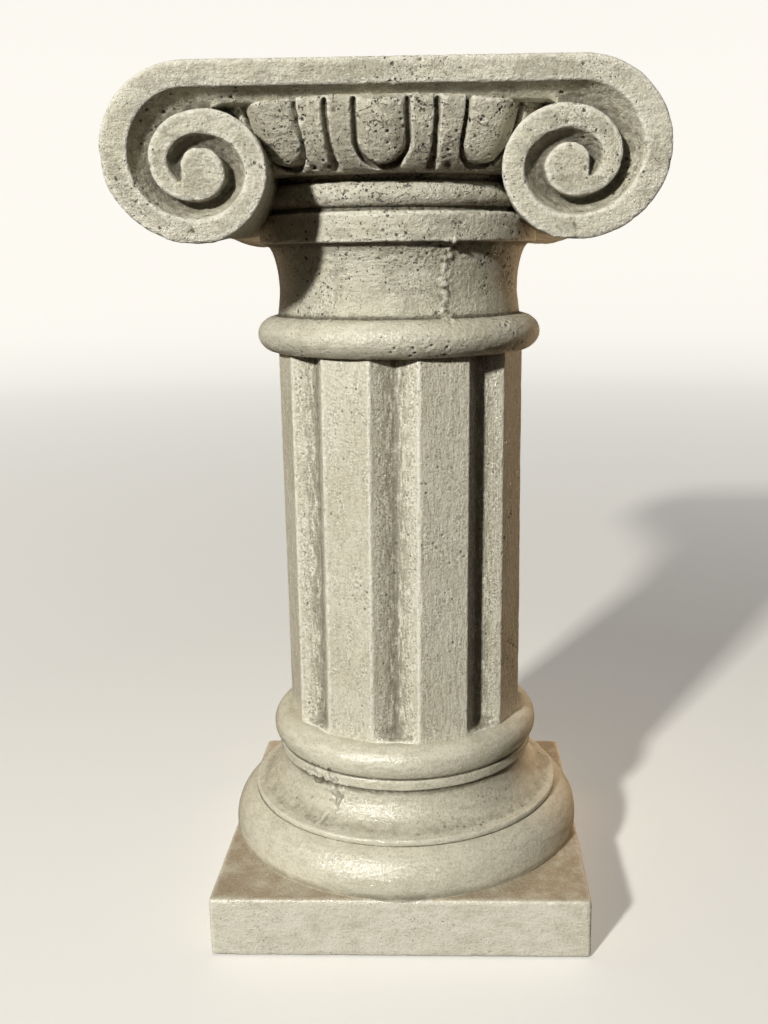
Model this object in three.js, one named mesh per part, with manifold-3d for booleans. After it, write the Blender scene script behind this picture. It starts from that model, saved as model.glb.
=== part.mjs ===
// A garden pedestal in the form of a short Ionic column, cast in stone as one piece.
// Millimetres, +Z up, origin under the middle of the plinth, front towards -Y.

import * as THREE from 'three';
import { mergeVertices } from 'three/addons/utils/BufferGeometryUtils.js';
import Module from 'manifold-3d';

const wasm = await Module();
wasm.setup();

// Whole column
const totalHeight = 760;
const roundSteps = 40; // flat strips round the turned mouldings
const overrun = 5; // how far a cut runs out past the body it is made in
const lap = 2; // how far one body runs into the next where they join

// Plinth
const plinthSide = 342;
const plinthHeight = 57;
const plinthCorner = 6;
const plinthEdge = 3;

// Base mouldings, from the plinth up
const lowerTorus = { radius: 172, widest: 65, roll: 37, steps: 5 };
const rim = { radius: 151, bottom: 96, top: 104, quirk: 1.5 };
const scotia = { radius: 122, steps: 4 };
const ledge = { radius: 125.5, bottom: 139, top: 149 };
const upperTorus = { radius: 130.5, widest: 164, reach: 16, rise: 16.5, steps: 6 };

// Shaft: flat fillets with a hollow flute between each two
const shaft = { radius: 113, bottom: 178, top: 532 };
const flute = { count: 8, width: 20.8, depth: 8, bottom: 181, sides: 28 }; // width in degrees
const coreRadius = 98;

// Ring, neck and necking band under the capital
const ring = { radius: 131, widest: 546, reach: 19, rise: 16.5, steps: 6 };
const neck = { radius: 109.5, waist: 584, topRadius: 122, steps: 4 };
const fascia = { radius: 126, bottom: 626, top: 650 };
const bead = { radius: 131, bottom: 654, top: 674, reach: 9, steps: 4 };
const quirkRadius = 122; // bottom of the quirks below and above the bead

// Ovolo with its row of eggs
const ovolo = { radius: 167, reach: 31, bottom: 680, top: 731, steps: 4, bow: 400, spread: 182 };
const egg = { pitch: 30, halfWidth: 18.5, bottom: 685, tipRise: 18, crown: 3.5 };
const carving = { width: 3.5, dartWidth: 4, depth: 6, steps: 6 };

// Capital: a slab that rolls up into a volute at each end
const capitalFace = 175; // distance from the axis to the carved face
const channelFloor = 157; // distance from the axis to the floor of the channel between the volutes
const channelRise = 3; // how far the channel floor climbs from its deep side
const channelFade = 6; // how much shallower the channel is at the eye
const slabBottom = ovolo.top;
const roll = { edge: 4, edgeSteps: 2, waist: 7, lengthSteps: 4, quarterSteps: 6, tuck: 14 };

// Ends of the quarter turns of the raised band, out from the axis and up, drawn inwards to the eye
const bandOuter = [
  [150, 756], [214.5, 694], [146, 629], [90, 678], [139, 725], [181, 689],
  [147, 657], [121.5, 678], [141, 697], [159, 684], [157, 676],
];
const bandInner = [
  [150, 740], [197, 692], [146, 643.5], [106, 678], [141, 707.5], [165, 689], [157, 676],
];
const turn = 4; // quarter turns in one turn of the spiral

const stone = new THREE.MeshStandardMaterial({ color: 0xcdc7b2, roughness: 0.75, metalness: 0 });

function point(radius, height) {
  return new THREE.Vector2(radius, height);
}

// Points of an elliptical arc in the profile, angles in degrees from the outward direction
function arc(radius, height, reach, rise, from, to, steps) {
  const start = THREE.MathUtils.degToRad(from);
  const end = THREE.MathUtils.degToRad(to);
  return new THREE.EllipseCurve(radius, height, reach, rise, start, end, to < from).getPoints(steps);
}

// A closed geometry as a solid that can be joined and cut
function solid(geometry) {
  geometry.deleteAttribute('normal');
  geometry.deleteAttribute('uv');
  const welded = mergeVertices(geometry);
  const corners = welded.index.array;
  const faces = [];
  for (let i = 0; i < corners.length; i += 3) {
    const [a, b, c] = corners.subarray(i, i + 3);
    if (a !== b && b !== c && c !== a) faces.push(a, b, c);
  }
  const vertProperties = Float32Array.from(welded.attributes.position.array);
  const triVerts = Uint32Array.from(faces);
  return new wasm.Manifold(new wasm.Mesh({ numProp: 3, vertProperties, triVerts }));
}

function turned(profile) {
  return solid(new THREE.LatheGeometry(profile, roundSteps).rotateX(Math.PI / 2));
}

// A flat outline in X and Z, made a slab that reaches from the depth near to the depth far along Y
function slab(outline, near, far, options = {}) {
  const settings = { depth: far - near, bevelEnabled: false, ...options };
  const geometry = new THREE.ExtrudeGeometry(new THREE.Shape(outline), settings);
  return geometry.rotateX(Math.PI / 2).translate(0, far, 0);
}

// The ovolo is round at its foot and spreads at its head to a long flat bow between the volutes
function spreadHead(geometry) {
  const places = geometry.attributes.position;
  for (let i = 0; i < places.count; i += 1) {
    const radius = Math.max(Math.hypot(places.getX(i), places.getY(i)), 1);
    const ahead = Math.abs(places.getY(i)) / radius;
    const curve = (2 * (1 - ahead ** 2)) / ovolo.bow + 1e-6;
    const bowRadius = (Math.sqrt(ahead ** 2 + curve * ovolo.radius) - ahead) / (curve / 2);
    const gain = Math.min(bowRadius, ovolo.spread) / ovolo.radius - 1;
    const height = (places.getZ(i) - ovolo.bottom) / (ovolo.top - ovolo.bottom);
    const share = THREE.MathUtils.clamp(height, 0, 1);
    places.setX(i, places.getX(i) * (1 + gain * share));
    places.setY(i, places.getY(i) * (1 + gain * share));
  }
  return geometry;
}

// The ovolo's quarter oval, with its skin taken in by the given depth and its head run into the slab
function ovoloBody(inset) {
  const reach = ovolo.reach - inset;
  const rise = ovolo.top - ovolo.bottom + 1 - inset;
  const start = -THREE.MathUtils.radToDeg(Math.asin((ovolo.top - ovolo.bottom - inset) / rise));
  const profile = [
    point(0, ovolo.bottom - 1 - inset),
    point(ovolo.radius - ovolo.reach, ovolo.bottom - 1 - inset),
    ...arc(ovolo.radius - ovolo.reach, ovolo.top, reach, rise, start, 0, ovolo.steps),
    point(ovolo.radius - inset - lap, ovolo.top + lap),
    point(0, ovolo.top + lap),
  ];
  return solid(spreadHead(new THREE.LatheGeometry(profile, roundSteps).rotateX(Math.PI / 2)));
}

function plinth() {
  const half = plinthSide / 2 - plinthEdge;
  const corner = plinthCorner - plinthEdge;
  const square = new THREE.Shape();
  square.absarc(half - corner, half - corner, corner, 0, Math.PI / 2);
  square.absarc(corner - half, half - corner, corner, Math.PI / 2, Math.PI);
  square.absarc(corner - half, corner - half, corner, Math.PI, Math.PI * 1.5);
  square.absarc(half - corner, corner - half, corner, Math.PI * 1.5, Math.PI * 2);
  const block = new THREE.ExtrudeGeometry(square, {
    depth: plinthHeight - 2 * plinthEdge,
    bevelSize: plinthEdge,
    bevelThickness: plinthEdge,
    bevelSegments: 2,
    curveSegments: 3,
  });
  return solid(block.translate(0, 0, plinthEdge));
}

// All turned mouldings and the core of the shaft, as one profile from the plinth to the ovolo
function mouldings() {
  const torusCentre = lowerTorus.radius - lowerTorus.roll;
  const torusDrop = (plinthHeight - lap - lowerTorus.widest) / lowerTorus.roll;
  const torusFoot = THREE.MathUtils.radToDeg(Math.asin(torusDrop));
  const torusHead = THREE.MathUtils.radToDeg(Math.acos((rim.radius - torusCentre) / lowerTorus.roll));
  const ledgeSpan = ledge.bottom - rim.top;
  const upperCentre = upperTorus.radius - upperTorus.reach;
  const ringCentre = ring.radius - ring.reach;
  const neckReach = neck.topRadius - neck.radius;
  const neckDrop = neck.waist - ring.widest - ring.rise;
  const beadMiddle = (bead.bottom + bead.top) / 2;
  const beadRise = (bead.top - bead.bottom) / 2;
  return turned([
    point(0, plinthHeight / 2),
    point(torusCentre, plinthHeight / 2),
    ...arc(
      torusCentre, lowerTorus.widest, lowerTorus.roll, lowerTorus.roll,
      torusFoot, torusHead, lowerTorus.steps,
    ),
    point(rim.radius - rim.quirk, rim.bottom + rim.quirk),
    point(rim.radius, rim.bottom + 2 * rim.quirk),
    ...arc(rim.radius, ledge.bottom, rim.radius - scotia.radius, ledgeSpan, 270, 180, scotia.steps),
    point(ledge.radius, ledge.bottom + 1),
    point(ledge.radius, ledge.top),
    ...arc(upperCentre, upperTorus.widest, upperTorus.reach, upperTorus.rise, -55, 90, upperTorus.steps),
    point(coreRadius, upperTorus.widest + upperTorus.rise),
    point(coreRadius, ring.widest - ring.rise),
    ...arc(ringCentre, ring.widest, ring.reach, ring.rise, -90, 90, ring.steps),
    ...arc(neck.topRadius, neck.waist, neckReach, neckDrop, 200, 180, 1),
    ...arc(neck.topRadius, neck.waist, neckReach, fascia.bottom - neck.waist, 180, 95, neck.steps),
    point(fascia.radius, fascia.bottom),
    point(fascia.radius, fascia.top),
    point(quirkRadius, fascia.top + 1),
    point(quirkRadius, bead.bottom),
    ...arc(bead.radius - bead.reach, beadMiddle, bead.reach, beadRise, -90, 90, bead.steps),
    point(quirkRadius, bead.top + 1),
    point(quirkRadius, ovolo.bottom + 1),
    point(0, ovolo.bottom + 1),
  ]);
}

// Sixteen flat sides, every second one hollowed
function flutedShaft() {
  const pitch = (2 * Math.PI) / flute.count;
  const halfFlute = THREE.MathUtils.degToRad(flute.width) / 2;
  const corners = [];
  for (let i = 0; i < flute.count; i += 1) {
    for (const edge of [i * pitch - halfFlute, i * pitch + halfFlute]) {
      corners.push(point(shaft.radius * Math.cos(edge), shaft.radius * Math.sin(edge)));
    }
  }
  const prism = new THREE.ExtrudeGeometry(new THREE.Shape(corners), {
    depth: shaft.top - shaft.bottom,
    bevelEnabled: false,
  });
  prism.translate(0, 0, shaft.bottom);
  const halfChord = shaft.radius * Math.sin(halfFlute);
  const flat = shaft.radius * Math.cos(halfFlute);
  const sag = flute.depth - (shaft.radius - flat);
  const hollow = (halfChord ** 2 + sag ** 2) / (2 * sag);
  const cutterLength = shaft.top - flute.bottom + overrun;
  let body = solid(prism);
  for (let i = 0; i < flute.count; i += 1) {
    const cutter = new THREE.CylinderGeometry(hollow, hollow, cutterLength, flute.sides);
    cutter.rotateX(Math.PI / 2).translate(0, -(flat - sag + hollow), flute.bottom + cutterLength / 2);
    body = body.subtract(solid(cutter.rotateZ(i * pitch)));
  }
  return body;
}

// Half-width outline of a tongue with straight sides and an oval tip, from one top corner to the other
function tongue(halfWidth, tip) {
  const spring = egg.bottom + egg.tipRise;
  const top = ovolo.top + 1;
  const curve = new THREE.EllipseCurve(0, spring, halfWidth, spring - tip, Math.PI, 2 * Math.PI);
  return [point(-halfWidth, top), ...curve.getPoints(carving.steps), point(halfWidth, top)];
}

// What is cut away round one egg and beside it
function eggCarving(halfWidth) {
  const reach = ovolo.spread + overrun;
  const band = [
    ...tongue(halfWidth + carving.width, egg.bottom - carving.width),
    ...tongue(halfWidth, egg.bottom).reverse(),
  ];
  let cutter = solid(slab(band, -reach, -coreRadius));
  const half = carving.dartWidth / 2;
  for (const side of [-1, 1]) {
    const dart = new THREE.BoxGeometry(2 * half, reach - coreRadius, ovolo.top - ovolo.bottom + 6);
    dart.translate(0, -(reach + coreRadius) / 2, (ovolo.top + ovolo.bottom) / 2);
    cutter = cutter.add(solid(dart.rotateZ(side * THREE.MathUtils.degToRad(egg.pitch / 2))));
  }
  return cutter;
}

// The swelling face of one egg, turned to its place and cut off level with the top of the ovolo
function eggCrown(heading, halfWidth) {
  const middle = (ovolo.top + egg.bottom) / 2;
  const oval = new THREE.SphereGeometry(1, 10, 6).rotateX(Math.PI / 2);
  oval.scale(halfWidth, ovolo.reach / 2, ovolo.top - middle + egg.crown);
  oval.translate(0, ovolo.reach / 2 - ovolo.radius - egg.crown, middle + egg.crown);
  const top = new THREE.BoxGeometry(plinthSide, plinthSide, egg.tipRise);
  top.translate(0, 0, ovolo.top + egg.tipRise / 2);
  return solid(spreadHead(oval.rotateZ(THREE.MathUtils.degToRad(heading)))).subtract(solid(top));
}

// One point of a band edge; place counts quarter turns, each a quarter of an oval
function bandPoint(ends, place) {
  const index = Math.min(Math.floor(place), ends.length - 2);
  const angle = (place - index) * (Math.PI / 2);
  const [fromX, fromZ] = ends[index];
  const [toX, toZ] = ends[index + 1];
  const along = Math.sin(angle);
  const back = Math.cos(angle);
  if (index % 2 === 0) return point(fromX + (toX - fromX) * along, toZ + (fromZ - toZ) * back);
  return point(toX + (fromX - toX) * back, fromZ + (toZ - fromZ) * along);
}

// The slab and both rolls in one outline, waisted between the faces
function capitalBody() {
  const half = [];
  for (let i = 0; i <= turn * roll.quarterSteps; i += 1) {
    half.push(bandPoint(bandOuter, i / roll.quarterSteps));
  }
  half.push(point(bandOuter[turn][0] - roll.tuck, slabBottom));
  const mirrored = half.map((p) => point(-p.x, p.y)).reverse();
  const inner = capitalFace - roll.edge;
  const body = slab([...half, ...mirrored].reverse(), -inner, inner, {
    steps: roll.lengthSteps,
    bevelEnabled: true,
    bevelSize: roll.edge,
    bevelThickness: roll.edge,
    bevelSegments: roll.edgeSteps,
  });
  const eyeX = bandOuter[turn + 4][0];
  const eyeZ = bandOuter[turn + 3][1];
  const places = body.attributes.position;
  for (let i = 0; i < places.count; i += 1) {
    const x = places.getX(i);
    const z = places.getZ(i);
    const middle = Math.max(0, 1 - (places.getY(i) / inner) ** 2);
    const away = new THREE.Vector2(Math.abs(x) - eyeX, z - eyeZ).normalize();
    const lower = THREE.MathUtils.clamp((totalHeight - roll.edge - z) / (totalHeight - eyeZ), 0, 1);
    const squeeze = roll.waist * middle * lower;
    places.setX(i, x - Math.sign(x) * away.x * squeeze);
    places.setZ(i, z - away.y * squeeze);
  }
  return solid(body);
}

// The sunk channel beside the band of the right front volute, deepest along the inner turn
function channel() {
  const quarters = bandInner.length - 1;
  const rows = quarters * roll.quarterSteps;
  const outside = capitalFace + overrun;
  const section = [
    [0, outside], [0, capitalFace], [0.55, channelFloor + channelRise],
    [1, channelFloor], [1, outside],
  ];
  const cutter = new THREE.CylinderGeometry(1, 1, rows, section.length, rows);
  const places = cutter.attributes.position;
  for (let i = 0; i < places.count; i += 1) {
    const row = rows / 2 - places.getY(i);
    const place = Math.min(row / roll.quarterSteps, quarters - 0.08);
    const outer = bandPoint(bandInner, place);
    const inner = bandPoint(bandOuter, place + turn);
    const turnShare = Math.atan2(places.getX(i), places.getZ(i)) / (2 * Math.PI);
    const middle = Math.hypot(places.getX(i), places.getZ(i)) < 0.5;
    const corner = Math.round(turnShare * section.length + section.length) % section.length;
    const [across, depth] = middle ? [0.5, outside - lap] : section[corner];
    const spot = outer.lerp(inner, across);
    const raised = depth < capitalFace ? depth + channelFade * (place / quarters) : depth;
    places.setXYZ(i, spot.x, -raised, spot.y);
  }
  return solid(cutter);
}

// The straight run of the channel between the two volutes
function straightChannel() {
  const [outerX, outerZ] = bandInner[0];
  const [innerX, innerZ] = bandOuter[turn];
  const run = [point(-outerX, outerZ), point(-innerX, innerZ), point(innerX, innerZ), point(outerX, outerZ)];
  return solid(slab(run, -capitalFace - overrun, -channelFloor));
}

function column() {
  let eggRow = ovoloBody(0);
  const core = ovoloBody(carving.depth);
  let capital = capitalBody();
  for (const face of [0, 180]) {
    for (const step of [-1, 0, 1]) {
      const heading = face + step * egg.pitch;
      const halfWidth = egg.halfWidth * Math.cos(THREE.MathUtils.degToRad(step * egg.pitch));
      const lines = eggCarving(halfWidth).rotate([0, 0, heading]);
      eggRow = eggRow.add(eggCrown(heading, halfWidth)).subtract(lines.subtract(core));
    }
    const right = channel();
    const cuts = right.add(right.mirror([1, 0, 0])).add(straightChannel());
    capital = capital.subtract(cuts.rotate([0, 0, face]));
  }
  return mouldings().add(flutedShaft()).add(plinth()).add(eggRow).add(capital);
}

const { vertProperties, triVerts } = column().getMesh();
const geometry = new THREE.BufferGeometry();
geometry.setAttribute('position', new THREE.BufferAttribute(vertProperties, 3));
geometry.setIndex(new THREE.BufferAttribute(triVerts, 1));
geometry.computeVertexNormals();

const mesh = new THREE.Mesh(geometry, stone);
mesh.name = 'column';

const pedestal = new THREE.Group();
pedestal.add(mesh);

export default pedestal;
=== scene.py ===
import math

import bmesh
import bpy
import numpy as np
from mathutils import Matrix, Vector, noise


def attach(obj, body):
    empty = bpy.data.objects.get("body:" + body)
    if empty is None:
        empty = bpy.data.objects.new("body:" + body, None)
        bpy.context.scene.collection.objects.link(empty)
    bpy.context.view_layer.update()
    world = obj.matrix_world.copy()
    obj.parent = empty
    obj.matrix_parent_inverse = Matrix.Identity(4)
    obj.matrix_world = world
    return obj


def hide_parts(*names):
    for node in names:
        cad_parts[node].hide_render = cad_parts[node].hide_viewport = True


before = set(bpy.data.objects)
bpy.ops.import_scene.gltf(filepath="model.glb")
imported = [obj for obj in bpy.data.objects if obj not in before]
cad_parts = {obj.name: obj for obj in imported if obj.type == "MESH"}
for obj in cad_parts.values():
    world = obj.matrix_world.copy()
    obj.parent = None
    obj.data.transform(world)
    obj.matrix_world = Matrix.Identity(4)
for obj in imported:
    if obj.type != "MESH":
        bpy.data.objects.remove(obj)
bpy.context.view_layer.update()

mm = 0.001
scene = bpy.context.scene


def toLinear(hexColour):
    parts = [int(hexColour[i:i + 2], 16) / 255 for i in (1, 3, 5)]
    return [c / 12.92 if c < 0.04045 else ((c + 0.055) / 1.055) ** 2.4 for c in parts] + [1.0]


# adds a node with its settings, and links or fills its inputs
def addNode(tree, kind, settings=None, inputs=None):
    node = tree.nodes.new(kind)
    for key, value in (settings or {}).items():
        setattr(node, key, value)
    for key, value in (inputs or {}).items():
        if isinstance(value, bpy.types.NodeSocket):
            tree.links.new(value, node.inputs[key])
        else:
            node.inputs[key].default_value = value
    return node


def newTree(name, inputs):
    tree = bpy.data.node_groups.new(name, "GeometryNodeTree")
    for label, kind in inputs.items():
        tree.interface.new_socket(label, in_out="INPUT", socket_type="NodeSocket" + kind)
    tree.interface.new_socket("Geometry", in_out="OUTPUT", socket_type="NodeSocketGeometry")
    return tree, addNode(tree, "NodeGroupInput").outputs


def endTree(tree, geometry, stone):
    whole = addNode(tree, "GeometryNodeRealizeInstances", inputs={"Geometry": geometry})
    dressed = addNode(tree, "GeometryNodeSetMaterial",
                      inputs={"Geometry": whole.outputs[0], "Material": stone})
    addNode(tree, "NodeGroupOutput", inputs={"Geometry": dressed.outputs[0]})


def addObject(name, data):
    obj = bpy.data.objects.new(name, data)
    scene.collection.objects.link(obj)
    return obj


def meshObject(name, points, faces):
    mesh = bpy.data.meshes.new(name)
    mesh.from_pydata((np.asarray(points, dtype=float) * mm).tolist(), [], faces)
    mesh.validate()
    return addObject(name, mesh)


# the evaluated object as a plain mesh, with no modifier left on it
def settle(obj):
    made = bpy.data.meshes.new_from_object(obj.evaluated_get(bpy.context.evaluated_depsgraph_get()))
    obj.modifiers.clear()
    old = obj.data
    obj.data = made
    bpy.data.meshes.remove(old)
    return obj


def runTree(obj, tree, values):
    modifier = obj.modifiers.new(tree.name, "NODES")
    for item in tree.interface.items_tree:
        if item.in_out == "INPUT" and item.name in values:
            values[item.identifier] = values.pop(item.name)
    modifier.node_group = tree
    for identifier, value in values.items():
        modifier[identifier] = value
    return settle(obj)


def drop(*objects):
    for obj in objects:
        data = obj.data
        bpy.data.objects.remove(obj)
        (bpy.data.curves if isinstance(data, bpy.types.Curve) else bpy.data.meshes).remove(data)


# open ends are closed with flat faces, and all faces turned outwards
def closeEnds(obj):
    work = bmesh.new()
    work.from_mesh(obj.data)
    bmesh.ops.remove_doubles(work, verts=work.verts, dist=0.01 * mm)
    bmesh.ops.holes_fill(work, edges=[e for e in work.edges if e.is_boundary], sides=0)
    bmesh.ops.recalc_face_normals(work, faces=work.faces)
    work.to_mesh(obj.data)
    work.free()
    return obj


def evenGrid(obj, voxel):
    modifier = obj.modifiers.new("evenGrid", "REMESH")
    modifier.mode = "VOXEL"
    modifier.voxel_size = voxel * mm * 1.0
    return settle(obj)


def combine(obj, other, kind):
    modifier = obj.modifiers.new("combine", "BOOLEAN")
    modifier.operation = kind
    modifier.solver = "MANIFOLD"
    modifier.object = other
    return settle(obj)


# a tube of faces through rows of points, each row a closed outline, with both ends filled
def rowsObject(name, rows):
    count = len(rows[0])
    points = [p for row in rows for p in row]
    faces = []
    for i in range(len(rows) - 1):
        for j in range(count):
            k = (j + 1) % count
            faces.append((i * count + j, i * count + k, (i + 1) * count + k, (i + 1) * count + j))
    last = (len(rows) - 1) * count
    faces.append(tuple(reversed(range(count))))
    faces.append(tuple(range(last, last + count)))
    return closeEnds(meshObject(name, points, faces))


# points of an oval arc, as distance from the axis and height, angles in degrees
def arc(radius, height, reach, rise, start, end, steps=24):
    angles = np.radians(np.linspace(start, end, steps + 1))
    return [(radius + reach * math.cos(a), height + rise * math.sin(a)) for a in angles]


def smooth(value, low, high):
    share = np.clip((np.asarray(value, dtype=float) - low) / (high - low), 0, 1)
    return share * share * (3 - 2 * share)


def places(obj):
    flat = np.empty(len(obj.data.vertices) * 3, dtype=np.float32)
    obj.data.vertices.foreach_get("co", flat)
    return flat.reshape(-1, 3).astype(float) / mm


def setPlaces(obj, spots):
    obj.data.vertices.foreach_set("co", (spots * mm).astype(np.float32).ravel())
    obj.data.update()


def normals(obj):
    flat = np.empty(len(obj.data.vertices) * 3, dtype=np.float32)
    obj.data.vertex_normals.foreach_get("vector", flat)
    return flat.reshape(-1, 3).astype(float)


# Camera
cameraSet = {"place": (0.0494, -1.0653, 0.6133), "yaw": 1.82, "down": 13.07, "roll": -0.70,
             "focal": 1124.1, "centre": (418.1, 518.2), "frame": (768, 1024)}


def addCamera(values):
    yaw, down, roll = (math.radians(values[key]) for key in ("yaw", "down", "roll"))
    ahead = Vector((-math.sin(yaw) * math.cos(down), math.cos(yaw) * math.cos(down), -math.sin(down)))
    right = Vector((math.cos(yaw), math.sin(yaw), 0))
    up = right.cross(ahead)
    across = math.cos(roll) * right + math.sin(roll) * up
    above = -math.sin(roll) * right + math.cos(roll) * up
    width, height = values["frame"]
    data = bpy.data.cameras.new("camera")
    data.sensor_width = 36
    data.lens = values["focal"] * data.sensor_width / height
    data.shift_x = (width / 2 - values["centre"][0]) / height
    data.shift_y = (values["centre"][1] - height / 2) / height
    camera = addObject("camera", data)
    turn = Matrix((across, above, -ahead)).transposed().to_4x4()
    camera.matrix_world = Matrix.Translation(values["place"]) @ turn
    scene.camera = camera


addCamera(cameraSet)
scene.view_settings.view_transform = "Standard"
print("camera set")

# Works masks out in order. Each is the product, sum or largest of its steps. A step is a reading alone, or with a
# weight, or with two bounds that it climbs between smoothly, and the shares at them.
def workOut(tree, readings, recipe):
    for name, (kind, *steps) in recipe.items():
        total = None
        for reading, *bounds in steps:
            part = readings[reading]
            if len(bounds) == 1:
                part = addNode(tree, "ShaderNodeMath", {"operation": "MULTIPLY"}, {0: part, 1: bounds[0]}).outputs[0]
            elif bounds:
                low, high, start, end = (*bounds, 0.0, 1.0)[:4]
                part = addNode(tree, "ShaderNodeMapRange", {"interpolation_type": "SMOOTHSTEP"},
                               {0: part, 1: low, 2: high, 3: start, 4: end}).outputs[0]
            if total is not None:
                part = addNode(tree, "ShaderNodeMath", {"operation": kind}, {0: total, 1: part}).outputs[0]
            total = part
        readings[name] = total


# Weathered cast stone: a cream cement skin, brushed on and rubbed through to its grey body in patches, with dirt
# and painted shade in the hollows and creases, air pits, hair cracks and paler arrises. It was sealed once, so the
# smooth parts have a satin shine.
# Sizes are in millimetres. The sand is drawn coarser than it is, because real grains would not show.
stoneSet = {
    "cream": "#cbc6b1", "ivory": "#dad6c4", "warm": "#d1ccb9", "tan": "#b4ad98", "body": "#8d8775",
    "dirt": "#4d483c", "pit": "#26231c", "sand": "#ebe7d9", "earth": "#a08c71",
    "patchSize": 90, "clusterSize": 55, "rubSize": 34, "brushSize": 16, "sandSize": 1.9, "grainSize": 4.2,
    "levelPull": 3.5, "rubPull": 1.3, "standingPull": 5.0, "pitSpacing": 8.0, "finePitSpacing": 3.4,
    "crackSpacing": 26, "crackWidth": 0.6, "reliefDepth": 1.9, "smoothRoughness": 0.19, "grimyRoughness": 0.27,
    "refraction": 1.52, "specular": 0.7,
}


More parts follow.
